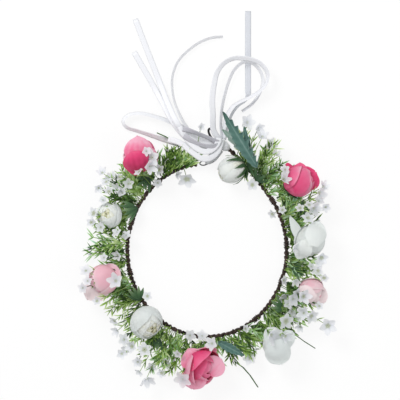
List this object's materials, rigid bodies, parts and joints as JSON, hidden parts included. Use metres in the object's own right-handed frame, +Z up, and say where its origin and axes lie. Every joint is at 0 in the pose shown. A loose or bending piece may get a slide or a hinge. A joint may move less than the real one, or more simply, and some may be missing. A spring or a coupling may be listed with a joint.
{
  "type": "flower crown",
  "caption": "Open oval flower crown of twisted vine with bendable cloth roses, sprays of small star flowers, leaves and a satin ribbon bow that ties its ends.",
  "frame": {"origin": "on the table under the middle of the crown's bounding box, measured without the loose ribbon", "axes": "+Z up from the table, through the head opening; +Y towards the ribbon that ties the ends"},
  "size_m": [0.2534, 0.3982, 0.0411],
  "materials": {
    "dark_leaf": "dark green veined leaf",
    "dark_wire": "black wire",
    "green_tape": "stretched green floral tape",
    "grey_green_leaf": "matt grey-green leaf",
    "hot_pink_petal": "strong pink petal cloth",
    "pale_pink_petal": "pale pink petal cloth",
    "spray_green": "green needles with white star flowers",
    "stem_green": "green moulded stem and sepals",
    "vine": "dark brown twisted paper-covered wire",
    "white_petal": "white petal cloth with a cream heart",
    "white_satin": "white satin"
  },
  "bodies": {
    "band": {"binding_ranunculus_1": "green_tape", "binding_ranunculus_2": "green_tape", "binding_ranunculus_3": "green_tape", "binding_ranunculus_4": "green_tape", "binding_ranunculus_5": "green_tape", "binding_rose_1": "green_tape", "binding_rose_2": "green_tape", "binding_rose_3": "green_tape", "binding_rose_4": "green_tape", "binding_rose_5": "green_tape", "dark_leaf": "dark_leaf", "end_loop_left": "dark_wire", "end_loop_right": "dark_wire", "ribbon_knot": "white_satin", "ribbon_loop_left": "white_satin", "ribbon_loop_right": "white_satin", "ribbon_tail_left_curl": "white_satin", "ribbon_tail_left_long": "white_satin", "ribbon_tail_left_short": "white_satin", "ribbon_tail_right_curl": "white_satin", "ribbon_tail_straight": "white_satin", "ribbon_tie": "white_satin", "spray_1": "spray_green", "spray_10": "spray_green", "spray_2": "spray_green", "spray_3": "spray_green", "spray_4": "spray_green", "spray_5": "spray_green", "spray_6": "spray_green", "spray_7": "spray_green", "spray_8": "spray_green", "spray_9": "spray_green", "toothed_leaf": "grey_green_leaf", "vine_strand_a": "vine", "vine_strand_b": "vine"},
    "ranunculus_1": {"ranunculus_1_petals": "white_petal", "ranunculus_1_stem": "stem_green"},
    "ranunculus_2": {"ranunculus_2_petals": "white_petal", "ranunculus_2_stem": "stem_green"},
    "ranunculus_3": {"ranunculus_3_petals": "white_petal", "ranunculus_3_stem": "stem_green"},
    "ranunculus_4": {"ranunculus_4_petals": "white_petal", "ranunculus_4_stem": "stem_green"},
    "ranunculus_5": {"ranunculus_5_petals": "white_petal", "ranunculus_5_stem": "stem_green"},
    "rose_1": {"rose_1_heart": "hot_pink_petal", "rose_1_petals": "hot_pink_petal", "rose_1_stem": "stem_green"},
    "rose_2": {"rose_2_heart": "pale_pink_petal", "rose_2_petals": "pale_pink_petal", "rose_2_stem": "stem_green"},
    "rose_3": {"rose_3_heart": "hot_pink_petal", "rose_3_petals": "hot_pink_petal", "rose_3_stem": "stem_green"},
    "rose_4": {"rose_4_heart": "pale_pink_petal", "rose_4_petals": "pale_pink_petal", "rose_4_stem": "stem_green"},
    "rose_5": {"rose_5_heart": "hot_pink_petal", "rose_5_petals": "hot_pink_petal", "rose_5_stem": "stem_green"}
  },
  "joints": [
    {"name": "rose_1_bend", "type": "hinge", "parent": "band", "child": "rose_1", "pos_m": [-0.05856, 0.07458, 0.00709], "axis": [0.7586, 0.6515, 0], "range_deg": [-8, 20]},
    {"name": "ranunculus_1_bend", "type": "hinge", "parent": "band", "child": "ranunculus_1", "pos_m": [-0.08846, 0.02868, 0.00709], "axis": [0.3001, 0.9539, 0], "range_deg": [-8, 20]},
    {"name": "rose_2_bend", "type": "hinge", "parent": "band", "child": "rose_2", "pos_m": [-0.0902, -0.02932, 0.00709], "axis": [-0.2416, 0.9704, 0], "range_deg": [-8, 20]},
    {"name": "ranunculus_2_bend", "type": "hinge", "parent": "band", "child": "ranunculus_2", "pos_m": [-0.06317, -0.07717, 0.00709], "axis": [-0.7137, 0.7004, 0], "range_deg": [-8, 20]},
    {"name": "rose_3_bend", "type": "hinge", "parent": "band", "child": "rose_3", "pos_m": [-0.00654, -0.10285, 0.00709], "axis": [-0.9981, 0.0618, 0], "range_deg": [-8, 20]},
    {"name": "ranunculus_3_bend", "type": "hinge", "parent": "band", "child": "ranunculus_3", "pos_m": [0.0551, -0.08218, 0.00709], "axis": [-0.7669, -0.6418, 0], "range_deg": [-8, 20]},
    {"name": "rose_4_bend", "type": "hinge", "parent": "band", "child": "rose_4", "pos_m": [0.08485, -0.03872, 0.00709], "axis": [-0.3306, -0.9438, 0], "range_deg": [-8, 20]},
    {"name": "ranunculus_4_bend", "type": "hinge", "parent": "band", "child": "ranunculus_4", "pos_m": [0.09066, 0.00263, 0.00709], "axis": [0.0561, -0.9984, 0], "range_deg": [-8, 20]},
    {"name": "rose_5_bend", "type": "hinge", "parent": "band", "child": "rose_5", "pos_m": [0.07464, 0.05299, 0.00709], "axis": [0.5362, -0.8441, 0], "range_deg": [-8, 20]},
    {"name": "ranunculus_5_bend", "type": "hinge", "parent": "band", "child": "ranunculus_5", "pos_m": [0.03983, 0.08237, 0.01005], "axis": [-0.6597, 0.7516, 0], "range_deg": [-8, 20]}
  ]
}
